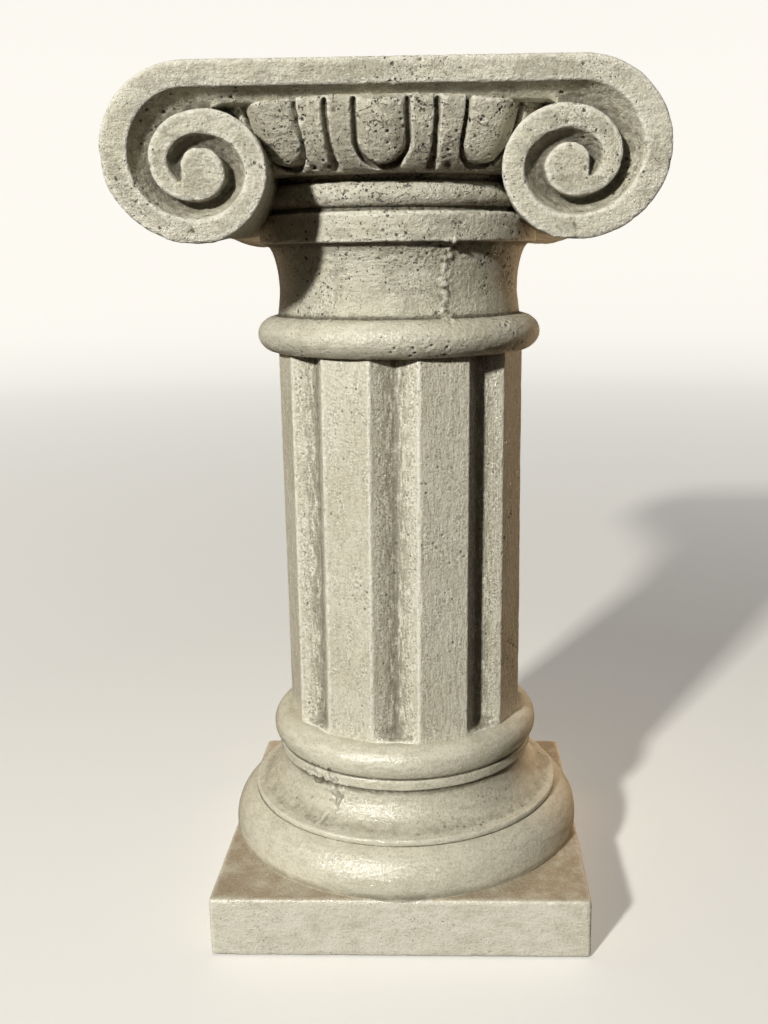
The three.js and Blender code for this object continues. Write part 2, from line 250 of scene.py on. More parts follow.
def castStone(values):
    stone = bpy.data.materials.new("weathered cast stone")
    stone.use_nodes = True
    tree = stone.node_tree
    tree.nodes.clear()
    place = addNode(tree, "ShaderNodeTexCoord").outputs["Object"]
    facing = addNode(tree, "ShaderNodeNewGeometry").outputs["Normal"]
    readings = {"height": addNode(tree, "ShaderNodeSeparateXYZ", inputs={0: place}).outputs["Z"],
                "lying": addNode(tree, "ShaderNodeSeparateXYZ", inputs={0: facing}).outputs["Z"]}
    for name in ("hollow", "crease", "arris", "upright", "grime"):
        readings[name] = addNode(tree, "ShaderNodeAttribute", {"attribute_name": name}).outputs["Fac"]

    # brush marks lie level on the mouldings and upright on the shaft
    ways = {"place": place}
    up = values["standingPull"]
    standing = addNode(tree, "ShaderNodeMapping", None, {0: place, "Scale": (up, up, 1)}).outputs[0]
    for key in ("levelPull", "rubPull"):
        level = addNode(tree, "ShaderNodeMapping", None, {0: place, "Scale": (1, 1, values[key])}).outputs[0]
        ways[key] = addNode(tree, "ShaderNodeMix", {"data_type": "VECTOR"},
                            {"Factor": readings["upright"], 4: level, 5: standing}).outputs[1]
    clouds = {  # way, size, detail, roughness and twist
        "rubbing": ("rubPull", "rubSize", 10.0, 0.74, 0.3), "brush": ("levelPull", "brushSize", 5.0, 0.65, 0.2),
        "patch": ("place", "patchSize", 5.0, 0.6, 0.4), "cluster": ("place", "clusterSize", 2.0, 0.5, 0.0),
        "sand": ("place", "sandSize", 2.0, 0.6, 0.0), "grain": ("place", "grainSize", 5.0, 0.68, 0.0)}
    for name, (way, size, detail, roughness, twist) in clouds.items():
        readings[name] = addNode(tree, "ShaderNodeTexNoise", None, {
            "Vector": ways[way], "Scale": 1000 / values[size], "Detail": detail, "Roughness": roughness,
            "Distortion": twist}).outputs["Fac"]

    # pits have bent edges, and hair cracks stray further
    for name, start, waves, detail, reach in (("bent", "place", 300.0, 2.0, 0.004),
                                              ("strayed", "bent", 70.0, 4.0, 0.028)):
        sway = addNode(tree, "ShaderNodeTexNoise", None,
                       {"Vector": ways[start], "Scale": waves, "Detail": detail}).outputs["Color"]
        sway = addNode(tree, "ShaderNodeVectorMath", {"operation": "SCALE"}, {0: sway, "Scale": reach}).outputs[0]
        ways[name] = addNode(tree, "ShaderNodeVectorMath", {"operation": "ADD"}, {0: ways[start], 1: sway}).outputs[0]
    for name, way, spacing, feature in (("pits", "bent", "pitSpacing", "F1"),
                                        ("finePits", "bent", "finePitSpacing", "F1"),
                                        ("plates", "strayed", "crackSpacing", "DISTANCE_TO_EDGE")):
        readings[name] = addNode(tree, "ShaderNodeTexVoronoi", {"feature": feature},
                                 {"Vector": ways[way], "Scale": 1000 / values[spacing]}).outputs["Distance"]
    hair = values["crackWidth"] / values["crackSpacing"]

    workOut(tree, readings, {
        "dirty": ("MULTIPLY", ("grime", 0.2, 0.55, 0.28, 1.0)),
        "wornOff": ("ADD", ("rubbing",), ("grime", 0.1), ("hollow", 0.0, 1.5, 0.0, 0.07)),
        "rub": ("MULTIPLY", ("wornOff", 0.585, 0.63), ("dirty",)),  # the skin is rubbed off, with a hard edge
        "inFlutes": ("MULTIPLY", ("upright", 1.02, 1.25), ("rubbing", 0.42, 0.54, 0.15, 0.9)),
        "onFillets": ("MULTIPLY", ("upright", 0.5, 1.0), ("rubbing", 0.46, 0.58, 0.0, 0.6)),
        "inClusters": ("MULTIPLY", ("cluster", 0.56, 0.68, 0.1, 0.6), ("dirty",)),
        "sandy": ("MAXIMUM", ("inFlutes",), ("onFillets",), ("inClusters",)),
        "patchy": ("MULTIPLY", ("patch", 0.38, 0.6)),
        "low": ("MULTIPLY", ("height", 0.24, 0.05, 0.0, 0.8)),
        "brushed": ("MULTIPLY", ("brush", 0.46, 0.6), ("grime", 0.3, 0.6, 0.46, 0.25)),
        "stained": ("MULTIPLY", ("patch", 0.5, 0.64, 0.0, 0.12)),
        "thin": ("MULTIPLY", ("wornOff", 0.5, 0.62), ("dirty", 0.12)),
        "smeared": ("MULTIPLY", ("height", 0.058, 0.05), ("rubbing", 0.6, 0.4, 0.25, 0.68)),  # the plinth is paler
        "aged": ("MULTIPLY", ("grime", 0.74, 1.0, 0.0, 0.4)),
        "bare": ("MULTIPLY", ("rub",), ("grain", 0.35, 0.6, 0.1, 0.42)),
        "soil": ("MULTIPLY", ("lying", 0.75, 0.97), ("height", 0.075, 0.06), ("rubbing", 0.36, 0.6, 0.3, 0.85)),
        "darkGrains": ("MULTIPLY", ("sand", 0.54, 0.6), ("sandy", 0.0, 1.0, 0.22, 0.75)),
        "paleGrains": ("MULTIPLY", ("sand", 0.49, 0.42), ("sandy", 0.0, 1.0, 0.12, 0.95)),
        "streaks": ("MULTIPLY", ("upright", 1.15, 1.8, 0.0, 0.75), ("brush", 0.4, 0.54)),  # down the flutes: dirt streaks, and painted shade in the flute valleys
        # grey dirt lines in the creases, and painted shade there
        "silt": ("MULTIPLY", ("crease", 0.1, 0.3), ("brush", 0.36, 0.52, 0.3, 1.0)),
        "soilLine": ("MULTIPLY", ("height", 0.067, 0.0585), ("height", 0.057, 0.0576), ("lying", 0.9, 0.5),
                     ("brush", 0.3, 0.6, 0.4, 0.8)),  # where the base meets the plinth: soil, and painted shade under the torus
        "sunk": ("MULTIPLY", ("hollow", 0.1, 1.8)),
        # sunken, deep and creased darken the hollows and creases: dirt, and painted shade where shade gathers
        "sunken": ("MULTIPLY", ("sunk",), ("grain", 0.36, 0.6, 0.3, 0.9)),
        "deep": ("MULTIPLY", ("hollow", 1.4, 4.0), ("grain", 0.36, 0.6, 0.3, 0.9)),
        "creased": ("MULTIPLY", ("crease", 0.12, 0.8), ("grain", 0.36, 0.6, 0.35, 0.9)),
        "sharp": ("MULTIPLY", ("arris",), ("upright", 0.0, 1.0, 1.0, 1.8)),  # the shaft's arrises are blunter
        "pale": ("MULTIPLY", ("sharp", 0.08, 0.45), ("grain", 0.36, 0.56, 0.35, 0.95),
                 ("grime", 0.25, 0.34, 0.25, 1.0)),
        "gather": ("ADD", ("cluster", 0.36, 0.66, 0.09, 0.0), ("grime", 0.56, 0.72, 0.015, -0.05)),
        "pitCells": ("ADD", ("pits",), ("gather",)),  # pits gather in clusters
        "finePitCells": ("ADD", ("finePits",), ("gather",)),
        "bigPits": ("MULTIPLY", ("pitCells", 0.15, 0.1), ("grime", 0.28, 0.4)),
        "smallPits": ("MULTIPLY", ("finePitCells", 0.2, 0.13)),
        "allPits": ("MAXIMUM", ("bigPits",), ("smallPits",)),
        "pitted": ("MULTIPLY", ("allPits",), ("grime", 0.2, 0.5, 0.4, 1.0), ("upright", 0.5, 1.0, 1.0, 0.5)),
        "pitShade": ("MULTIPLY", ("pitted", 0.85)),
        "cracked": ("MULTIPLY", ("plates", hair, hair * 0.3), ("brush", 0.5, 0.57), ("grime", 0.75, 0.95)),
        "crackShade": ("MULTIPLY", ("cracked", 0.75)),  # in the grimiest places
        "dull": ("ADD", ("sunk", 0.4), ("rub", 0.4), ("grain", 0.5)),
        "gloss": ("ADD", ("grime", 0.1, 0.6, values["smoothRoughness"], values["grimyRoughness"]),
                  ("dull", 0.2, 0.8, -0.04, 0.28)),
        "sandRise": ("MULTIPLY", ("sand",), ("sandy", 0.0, 1.0, 0.2, 0.5)),
        "rise": ("ADD", ("grain", 1.1), ("brush", 0.9), ("sandRise",), ("pitted", -0.9), ("rub", -0.1),
                 ("cracked", -0.8)),
        "relief": ("MULTIPLY", ("rise",), ("grime", 0.2, 0.55, 0.33, 1.15)),
    })

    # coats in order; those for the flute valleys, creases, the base's foot and the hollows paint shade along with dirt
    coats = (("patchy", "ivory"), ("low", "warm"), ("brushed", "tan"), ("stained", "tan"), ("thin", "tan"),
             ("smeared", "sand"), ("aged", "tan"), ("bare", "body"), ("soil", "earth"), ("darkGrains", "body"),
             ("paleGrains", "sand"), ("streaks", "body"), ("silt", "body"), ("soilLine", "body"), ("sunken", "body"),
             ("deep", "dirt"), ("creased", "dirt"), ("pale", "sand"), ("pitShade", "pit"), ("crackShade", "pit"))
    colour = toLinear(values["cream"])
    for share, key in coats:
        colour = addNode(tree, "ShaderNodeMix", {"data_type": "RGBA"}, {
            "Factor": readings[share], 6: colour, 7: toLinear(values[key])}).outputs[2]
    bump = addNode(tree, "ShaderNodeBump", None, {
        "Strength": 1.0, "Distance": values["reliefDepth"] * mm, "Height": readings["relief"]}).outputs[0]
    shader = addNode(tree, "ShaderNodeBsdfPrincipled", None, {
        "Base Color": colour, "Roughness": readings["gloss"], "Normal": bump, "IOR": values["refraction"],
        "Specular IOR Level": values["specular"]})
    addNode(tree, "ShaderNodeOutputMaterial", None, {"Surface": shader.outputs[0]})
    return stone


castStoneSkin = castStone(stoneSet)
print("stone mixed")


# a profile turned once round the axis
def turnTree():
    tree, given = newTree("turned moulding", {
        "Profile": "Object", "Columns": "Int", "Row Step": "Float", "Bore": "Float", "Stone": "Material"})
    profile = addNode(tree, "GeometryNodeObjectInfo", None, {"Object": given["Profile"]}).outputs["Geometry"]
    rows = addNode(tree, "GeometryNodeResampleCurve", {"mode": "LENGTH"},
                   {"Curve": profile, "Length": given["Row Step"]}).outputs[0]
    ring = addNode(tree, "GeometryNodeCurvePrimitiveCircle", {"mode": "RADIUS"},
                   {"Resolution": given["Columns"], "Radius": given["Bore"]}).outputs[0]
    turned = addNode(tree, "GeometryNodeCurveToMesh", None, {"Curve": ring, "Profile Curve": rows}).outputs[0]
    endTree(tree, turned, given["Stone"])
    return tree


# copies of one shape set round the axis
def copiesRound(tree, shape, count):
    single = addNode(tree, "GeometryNodeObjectInfo", None, {"Object": shape}).outputs["Geometry"]
    points = addNode(tree, "GeometryNodePoints", None, {"Count": count}).outputs[0]
    number = addNode(tree, "GeometryNodeInputIndex").outputs[0]
    share = addNode(tree, "ShaderNodeMath", {"operation": "DIVIDE"}, {0: number, 1: count}).outputs[0]
    angle = addNode(tree, "ShaderNodeMath", {"operation": "MULTIPLY"}, {0: share, 1: 2 * math.pi}).outputs[0]
    turn = addNode(tree, "ShaderNodeCombineXYZ", None, {"Z": angle}).outputs[0]
    copies = addNode(tree, "GeometryNodeInstanceOnPoints", None,
                     {"Points": points, "Instance": single, "Rotation": turn}).outputs[0]
    return addNode(tree, "GeometryNodeRealizeInstances", None, {"Geometry": copies}).outputs[0]


# cutters set round the axis and taken out of a blank
def ringCutTree():
    tree, given = newTree("cuts round the axis", {
        "Geometry": "Geometry", "Cutter": "Object", "Count": "Int", "Stone": "Material"})
    cutters = copiesRound(tree, given["Cutter"], given["Count"])
    cut = addNode(tree, "GeometryNodeMeshBoolean", {"operation": "DIFFERENCE", "solver": "MANIFOLD"},
                  {"Mesh 1": given["Geometry"], "Mesh 2": cutters}).outputs[0]
    endTree(tree, cut, given["Stone"])
    return tree


# eggs added round an ovolo, and the lines beside them sunk as deep as its core
def eggTree():
    tree, given = newTree("egg and dart", {
        "Geometry": "Geometry", "Egg": "Object", "Lines": "Object", "Core": "Object", "Count": "Int",
        "Stone": "Material"})
    eggs, lines = (copiesRound(tree, given[label], given["Count"]) for label in ("Egg", "Lines"))
    core = addNode(tree, "GeometryNodeObjectInfo", None, {"Object": given["Core"]}).outputs["Geometry"]
    shallow = addNode(tree, "GeometryNodeMeshBoolean", {"operation": "DIFFERENCE", "solver": "MANIFOLD"},
                      {"Mesh 1": lines, "Mesh 2": core}).outputs[0]
    full = addNode(tree, "GeometryNodeMeshBoolean", {"operation": "UNION", "solver": "MANIFOLD"})
    tree.links.new(given["Geometry"], full.inputs["Mesh 2"])
    tree.links.new(eggs, full.inputs["Mesh 2"])
    cut = addNode(tree, "GeometryNodeMeshBoolean", {"operation": "DIFFERENCE", "solver": "MANIFOLD"},
                  {"Mesh 1": full.outputs[0], "Mesh 2": shallow}).outputs[0]
    endTree(tree, cut, given["Stone"])
    return tree


# rounds the arrises, then wears, dents and pits the skin, and notes where it is hollow or stands proud
def weatherTree():
    tree, given = newTree("weathering", {
        "Geometry": "Geometry", "Soften": "Int", "Wobble": "Float", "Wobble Size": "Float", "Dents": "Float",
        "Dent Size": "Float", "Pits": "Float", "Pit Spacing": "Float", "Cluster Size": "Float", "Chips": "Float",
        "Chip Size": "Float", "Upright": "Float", "Grime": "Float", "Seed": "Float", "Stone": "Material"})
    place = addNode(tree, "GeometryNodeInputPosition").outputs[0]
    facing = addNode(tree, "GeometryNodeInputNormal").outputs[0]
    readings = {"Pits": given["Pits"], "Chips": given["Chips"]}

    # how far the skin stands proud of its surroundings, in millimetres
    for name, rounds in (("proudWide", 45), ("proud", 10), ("proudClose", 6)):
        blur = addNode(tree, "GeometryNodeBlurAttribute", {"data_type": "FLOAT_VECTOR"},
                       {"Value": place, "Iterations": rounds}).outputs[0]
        away = addNode(tree, "ShaderNodeVectorMath", {"operation": "SUBTRACT"}, {0: place, 1: blur}).outputs[0]
        along = addNode(tree, "ShaderNodeVectorMath", {"operation": "DOT_PRODUCT"}, {0: away, 1: facing})
        readings[name] = addNode(tree, "ShaderNodeMath", {"operation": "MULTIPLY"},
                                 {0: along.outputs["Value"], 1: 1 / mm}).outputs[0]
    scales = {}
    for label in ("Wobble Size", "Dent Size", "Chip Size", "Cluster Size", "Pit Spacing"):
        scales[label] = addNode(tree, "ShaderNodeMath", {"operation": "DIVIDE"}, {0: 1.0, 1: given[label]}).outputs[0]
    for name, label, detail, roughness in (("wobbleCloud", "Wobble Size", 2.0, 0.5),
                                           ("dentCloud", "Dent Size", 5.0, 0.62),
                                           ("chipCloud", "Chip Size", 3.0, 0.5)):
        readings[name] = addNode(tree, "ShaderNodeTexNoise", {"noise_dimensions": "4D"}, {
            "Vector": place, "W": given["Seed"], "Scale": scales[label], "Detail": detail,
            "Roughness": roughness}).outputs["Fac"]
    for name, cloud, label in (("wobble", "wobbleCloud", "Wobble"), ("dents", "dentCloud", "Dents")):
        level = addNode(tree, "ShaderNodeMath", {"operation": "SUBTRACT"}, {0: readings[cloud], 1: 0.5}).outputs[0]
        readings[name] = addNode(tree, "ShaderNodeMath", {"operation": "MULTIPLY"},
                                 {0: level, 1: given[label]}).outputs[0]
    readings["cells"] = addNode(tree, "ShaderNodeTexVoronoi", None,
                                {"Vector": place, "Scale": scales["Pit Spacing"]}).outputs["Distance"]
    readings["cluster"] = addNode(tree, "ShaderNodeTexNoise", None, {
        "Vector": place, "Scale": scales["Cluster Size"], "Detail": 2.0}).outputs["Fac"]
    workOut(tree, readings, {
        "pitCells": ("ADD", ("cells",), ("cluster", 0.36, 0.66, 0.12, -0.02)),
        "pits": ("MULTIPLY", ("pitCells", 0.22, 0.1), ("Pits",)),
        "chips": ("MULTIPLY", ("chipCloud", 0.5, 0.66), ("proud", 0.15, 0.9), ("Chips",)),
        "rise": ("ADD", ("wobble",), ("dents",), ("pits", -1.0), ("chips", -1.0)),
        "hollow": ("MULTIPLY", ("proudWide", -1.0)),
        "crease": ("MULTIPLY", ("proud", -1.0)),
    })

    rounded = addNode(tree, "GeometryNodeBlurAttribute", {"data_type": "FLOAT_VECTOR"},
                      {"Value": place, "Iterations": given["Soften"]}).outputs[0]
    form = addNode(tree, "GeometryNodeSetPosition", None,
                   {"Geometry": given["Geometry"], "Position": rounded}).outputs[0]
    push = addNode(tree, "ShaderNodeVectorMath", {"operation": "SCALE"},
                   {0: facing, "Scale": readings["rise"]}).outputs[0]
    form = addNode(tree, "GeometryNodeSetPosition", None, {"Geometry": form, "Offset": push}).outputs[0]
    for label, value in (("hollow", readings["hollow"]), ("crease", readings["crease"]),
                         ("arris", readings["proudClose"]), ("upright", given["Upright"]), ("grime", given["Grime"])):
        form = addNode(tree, "GeometryNodeStoreNamedAttribute", {"data_type": "FLOAT", "domain": "POINT"},
                       {"Geometry": form, "Name": label, "Value": value}).outputs[0]
    form = addNode(tree, "GeometryNodeSetShadeSmooth", None, {"Geometry": form}).outputs[0]
    endTree(tree, form, given["Stone"])
    return tree


turnMoulding = turnTree()
cutRound = ringCutTree()
carveEggs = eggTree()
weather = weatherTree()

# ageing shared by all pieces, in millimetres
ageSet = {"Soften": 2, "Wobble": 1.2, "Wobble Size": 70, "Dents": 0.9, "Dent Size": 11, "Pits": 1.2,
          "Pit Spacing": stoneSet["pitSpacing"], "Cluster Size": stoneSet["clusterSize"], "Chips": 1.6,
          "Chip Size": 14, "Upright": 0.0, "Grime": 0.4, "Seed": 3.0}
lengths = [key for key in ageSet if key not in ("Soften", "Upright", "Grime", "Seed")]


def aged(obj, changes):
    values = {**ageSet, **changes, "Stone": castStoneSkin}
    for key in lengths:
        values[key] *= mm
    return runTree(obj, weather, values)


# a mould seam: a ragged raised line up the side, at a turn from the front in degrees
def addSeam(piece, turn, low, high, width, lift, lump):
    spots, facing = places(piece), normals(piece)
    radius = np.hypot(spots[:, 0], spots[:, 1])
    lean = np.interp(spots[:, 2], (low, high), turn)
    across = (np.degrees(np.arctan2(spots[:, 0], -spots[:, 1])) - lean) * np.radians(radius)
    for i in np.flatnonzero((np.abs(across) < width) & (spots[:, 2] > low) & (spots[:, 2] < high)):
        rough = noise.fractal(spots[i] / lump, 0.8, 2.0, 4)
        spots[i] += facing[i] * lift * (1 - (across[i] / width) ** 2) * max(0.0, 0.5 + 1.5 * rough)
    setPlaces(piece, spots)
    return piece


def setShare(piece, name, values):
    piece.data.attributes[name].data.foreach_set("value", np.asarray(values, dtype=np.float32))


wornSet = {"crumb": 6, "raggedness": 9, "grime": 0.6}  # the first two in millimetres


# worn places: the skin is broken up and grimier round each spot
def roughen(piece, worn):
    spots, facing = places(piece), normals(piece)
    grime = np.empty(len(spots), dtype=np.float32)
    piece.data.attributes["grime"].data.foreach_get("value", grime)
    for x, y, z, radius, lift in worn:
        near = 1 - np.linalg.norm(spots - (x, y, z), axis=1) / radius
        for i in np.flatnonzero(near > -0.5):
            rough = noise.fractal(spots[i] / wornSet["crumb"], 0.7, 2.0, 4)
            near[i] += 0.9 * noise.noise(spots[i] / wornSet["raggedness"])
            spots[i] += facing[i] * lift * min(1.0, max(0.0, 2 * near[i])) * rough
        grime = np.maximum(grime, wornSet["grime"] * smooth(near, 0, 0.7))
    setShare(piece, "grime", grime)
    setPlaces(piece, spots)


bore = 40  # the profiles are turned on a ring of this radius


def turnedPiece(name, profile, columns, rowStep):
    curve = bpy.data.curves.new(name + "Profile", "CURVE")
    curve.dimensions = "3D"
    spline = curve.splines.new("POLY")
    spline.points.add(len(profile) - 1)
    for point, (radius, height) in zip(spline.points, profile):
        point.co = ((radius - bore) * mm, -height * mm, 0, 1)
    line = addObject(name + "Profile", curve)
    piece = addObject(name, bpy.data.meshes.new(name))
    coarse = 1
    runTree(piece, turnMoulding, {"Profile": line, "Columns": columns // coarse, "Row Step": rowStep * mm * coarse,
                                  "Bore": bore * mm, "Stone": castStoneSkin})
    drop(line)
    return closeEnds(piece)


# Plinth: a square block with eased edges
plinthSet = {"side": 342, "height": 57, "ease": 3.0, "voxel": 1.7, "triangles": 100000,
             "age": {"Pits": 0.3, "Seed": 1.0, "Grime": 0.27, "Soften": 1, "Wobble": 0.8, "Dents": 0.4, "Chips": 0.4}}


def makePlinth(values):
    piece = addObject("plinth", bpy.data.meshes.new("plinth"))
    work = bmesh.new()
    half = values["side"] / 2 * mm
    bmesh.ops.create_cube(work, size=1, matrix=Matrix.Diagonal((2 * half, 2 * half, values["height"] * mm, 1)))
    bmesh.ops.translate(work, verts=work.verts, vec=(0, 0, values["height"] / 2 * mm))
    bmesh.ops.bevel(work, geom=work.edges, offset=values["ease"] * mm, segments=4, profile=0.5, affect="EDGES")
    work.to_mesh(piece.data)
    work.free()
    aged(evenGrid(piece, values["voxel"]), values["age"])
    spots = places(piece)
    spots[:, 2] = np.maximum(spots[:, 2], 0)  # it stands flat
    setPlaces(piece, spots)
    return piece


# Base: lower torus, rim, scotia, ledge and upper torus
baseSet = {"lowerTorus": (172, 65, 37), "rim": (151, 96, 104, 1.5), "scotia": 122, "ledge": (125.5, 139, 149),
           "upperTorus": (130.5, 164, 16, 16.5), "core": 92, "foot": 48, "columns": 640, "rowStep": 1.6,
           "seam": ((-37, -28), 68, 138, 1.4, 0.8, 9),
           "worn": ((-85, -96, 141, 15, 2.0), (-66, -112, 136, 17, 3.4), (-52, -126, 132, 12, 2.6)),
           "triangles": 155000,
           "age": {"Pits": 0.2, "Dents": 0.5, "Soften": 1, "Seed": 2.0, "Grime": 0.25, "Chips": 0.6}}


def makeBase(values):
    radius, widest, roll = values["lowerTorus"]
    rim, rimBottom, rimTop, quirk = values["rim"]
    ledge, ledgeBottom, ledgeTop = values["ledge"]
    upper, upperWidest, reach, rise = values["upperTorus"]
    centre = radius - roll
    low = math.degrees(math.asin((values["foot"] - widest) / roll))
    high = math.degrees(math.acos((rim - centre) / roll))
    profile = [(values["core"], values["foot"])]
    profile += arc(centre, widest, roll, roll, low, high)
    profile += [(rim - quirk, rimBottom + quirk), (rim, rimBottom + 2 * quirk)]
    profile += arc(rim, ledgeBottom, rim - values["scotia"], ledgeBottom - rimTop, 270, 180)
    profile += [(ledge, ledgeBottom + 1), (ledge, ledgeTop)]
    profile += arc(upper - reach, upperWidest, reach, rise, -55, 90)
    profile += [(values["core"], upperWidest + rise)]
    piece = turnedPiece("baseMouldings", profile, values["columns"], values["rowStep"])
    aged(addSeam(piece, *values["seam"]), values["age"])
    roughen(piece, values["worn"])
    return piece


# Shaft: flat fillets with a valley-shaped flute between each two, cast a little twisted
shaftSet = {"radius": 114.5, "bottom": 168, "top": 538, "flutes": 8, "fluteWidth": 21.5, "fluteDepth": 12.5,
            "turn": -0.7, "fluteFoot": 181, "scoop": 9, "twist": -2.0, "twistSpan": (178, 532), "shift": 1.5,
            "voxel": 1.3, "seam": ((-35.5, -33.5), 190, 525, 1.2, 0.6, 9), "triangles": 180000,
            "age": {"Upright": 1.0, "Soften": 1, "Dents": 0.7, "Pits": 0.6, "Seed": 3.0, "Wobble": 0.9,
                    "Grime": 0.33}}


# how far the shaft is turned at each height
def shaftTurn(heights, values):
    low, high = values["twistSpan"]
    return np.radians(values["turn"] + values["twist"] * (1 - np.clip((heights - low) / (high - low), 0, 1)))


# how far into a flute a place lies: 0 on the fillets, 1 along the valley
def fluteShare(spots, values):
    pitch = 2 * math.pi / values["flutes"]
    angle = np.arctan2(spots[:, 0], -spots[:, 1]) - shaftTurn(spots[:, 2], values)
    apart = np.abs((angle + pitch / 2) % pitch - pitch / 2)
    inside = np.clip(1 - apart / (math.radians(values["fluteWidth"]) / 2), 0, 1)
    return inside * (spots[:, 2] > values["fluteFoot"])


def makeShaft(values):
    count = values["flutes"]
    half = math.radians(values["fluteWidth"]) / 2
    radius = values["radius"]
    edges = [2 * math.pi * i / count + side * half - math.pi / 2 for i in range(count) for side in (-1, 1)]
    ring = [(radius * math.cos(a), radius * math.sin(a)) for a in edges]
    piece = rowsObject("flutedShaft", [[(x, y, z) for x, y in ring] for z in (values["bottom"], values["top"])])
    chord = radius * math.sin(half)
    flat = radius * math.cos(half)
    valley = [(-1.0, 0.0), (-0.2, 0.8), (-0.1, 0.89), (0.0, 0.92), (0.1, 0.89), (0.2, 0.8), (1.0, 0.0)]
    valley = [(-1.5, -0.5), *valley, (1.5, -0.5)]
    rows = [(0, 0.02), (0.12, 0.35), (0.35, 0.66), (0.65, 0.88), (1, 1.0)]
    rows = [(values["fluteFoot"] + lift * values["scoop"], share) for lift, share in rows]
    rows.append((values["top"] + 10, 1.0))
    outlines = []
    for height, share in rows:
        low = values["fluteDepth"] * share
        outlines.append([(x * chord, -flat + (y - (1 - share) * 0.1) * low, height) for x, y in valley])
    cutter = rowsObject("fluteCutter", outlines)
    runTree(piece, cutRound, {"Cutter": cutter, "Count": count, "Stone": castStoneSkin})
    drop(cutter)
    evenGrid(piece, values["voxel"])
    spots = places(piece)
    turn = shaftTurn(spots[:, 2], values)
    x, y = spots[:, 0].copy(), spots[:, 1].copy()
    spots[:, 0] = x * np.cos(turn) - y * np.sin(turn)
    spots[:, 1] = x * np.sin(turn) + y * np.cos(turn)
    setPlaces(piece, spots)
    aged(addSeam(piece, *values["seam"]), values["age"])
    spots = places(piece)
    setShare(piece, "upright", 1 + fluteShare(spots, values))
    spots[:, 0] += values["shift"]  # it stands a little off the base's axis
    setPlaces(piece, spots)
    return piece


# Neck: ring, hollow neck, necking band and bead
neckSet = {"ring": (131, 546, 19, 16.5), "neck": (109.5, 584, 122), "fascia": (126, 626, 650),
           "bead": (131, 654, 674, 9), "quirk": 122, "top": 690, "core": 90, "columns": 560, "rowStep": 1.3,
           "seams": (((23.5, 23.8), 560, 629, 7.0, 1.9, 4.5), ((-28.5, -27.5), 560, 600, 1.4, 1.1, 8)),
           # grime by height; the bead's high last value also darkens it as painted shade from the ovolo above
           "grimeHeights": (556, 570, 590, 625, 648, 656), "grimeThere": (0.36, 0.6, 0.7, 0.7, 0.6, 0.92),
           "triangles": 165000, "age": {"Seed": 4.0, "Soften": 1, "Dents": 1.2, "Pits": 1.6, "Grime": 0.6}}


def makeNeck(values):
    ring, ringWidest, ringReach, ringRise = values["ring"]
    neck, waist, neckTop = values["neck"]
    fascia, fasciaBottom, fasciaTop = values["fascia"]
    bead, beadBottom, beadTop, beadReach = values["bead"]
    quirk = values["quirk"]
    profile = [(values["core"], ringWidest - ringRise)]
    profile += arc(ring - ringReach, ringWidest, ringReach, ringRise, -90, 90)
    profile += arc(neckTop, waist, neckTop - neck, waist - ringWidest - ringRise, 200, 180, 4)
    profile += arc(neckTop, waist, neckTop - neck, fasciaBottom - waist, 180, 93)
    profile += [(fascia - 0.5, fasciaBottom), (fascia, fasciaBottom + 1)]
    profile += [(fascia, fasciaTop - 1), (fascia - 1, fasciaTop)]
    profile += [(quirk, fasciaTop + 1), (quirk, beadBottom)]
    profile += arc(bead - beadReach, (beadBottom + beadTop) / 2, beadReach, (beadTop - beadBottom) / 2, -90, 90)
    profile += [(quirk, beadTop + 1), (quirk, values["top"])]
    piece = turnedPiece("neckMouldings", profile, values["columns"], values["rowStep"])
    for seam in values["seams"]:
        addSeam(piece, *seam)
    aged(piece, values["age"])
    setShare(piece, "grime", np.interp(places(piece)[:, 2], values["grimeHeights"], values["grimeThere"]))
    return piece


# Ovolo with its eggs, shells and darts
eggSet = {"radius": 167, "reach": 31, "bottom": 680, "top": 731, "bow": 400, "spread": 182, "count": 12,
          "halfWidth": 18.5, "tip": 685, "tipRise": 18, "crown": 4.5, "crownWidth": 30, "crownRise": 54, "line": 4.0,
          "dart": 4.6, "depth": 8.0, "core": 60, "lip": (3, 4), "columns": 240, "rowStep": 2.0, "shift": -4.0,
          "voxel": 1.15, "triangles": 190000,
          "age": {"Soften": 4, "Dents": 2.2, "Dent Size": 8, "Pits": 2.4, "Seed": 5.0, "Grime": 1.0},
          "holes": ((-59, -138, 683, 2.6), (-47, -142, 683, 3.0), (-4, -148, 680, 3.2), (3, -164, 694, 2.2),
                    (13, -169, 704, 1.6), (23, -147, 680, 3.0), (47, -142, 683, 3.4), (-80, -151, 707, 2.0),
                    (-77, -142, 697, 2.0), (-49, -164, 705, 1.8), (-40, -168, 723, 3.0))}


def ovoloProfile(values, inset):
    reach = values["reach"] - inset
    rise = values["top"] - values["bottom"] + 1 - inset
    start = -math.degrees(math.asin((values["top"] - values["bottom"] - inset) / rise))
    foot = values["bottom"] - 1 - inset
    back, up = values["lip"]
    profile = [(values["core"], foot), (values["radius"] - values["reach"], foot)]
    profile += arc(values["radius"] - values["reach"], values["top"], reach, rise, start, 0)
    return profile + [(values["radius"] - inset - back, values["top"] + up), (values["core"], values["top"] + up)]


# round at the foot, spread at the head to a long flat bow between the volutes
def spreadHead(spots, values):
    radius = np.maximum(np.hypot(spots[:, 0], spots[:, 1]), 1)
    ahead = np.abs(spots[:, 1]) / radius
    curve = 2 * (1 - ahead ** 2) / values["bow"] + 1e-6
    bowRadius = (np.sqrt(ahead ** 2 + curve * values["radius"]) - ahead) / (curve / 2)
    gain = np.minimum(bowRadius, values["spread"]) / values["radius"] - 1
    share = np.clip((spots[:, 2] - values["bottom"]) / (values["top"] - values["bottom"]), 0, 1)
    spots[:, :2] *= (1 + gain * share)[:, None]
    return spots


def tongue(halfWidth, spring, tip, top, steps=20):
    line = [(-halfWidth, top)]
    line += arc(0, spring, halfWidth, spring - tip, 180, 360, steps)
    return line + [(halfWidth, top)]


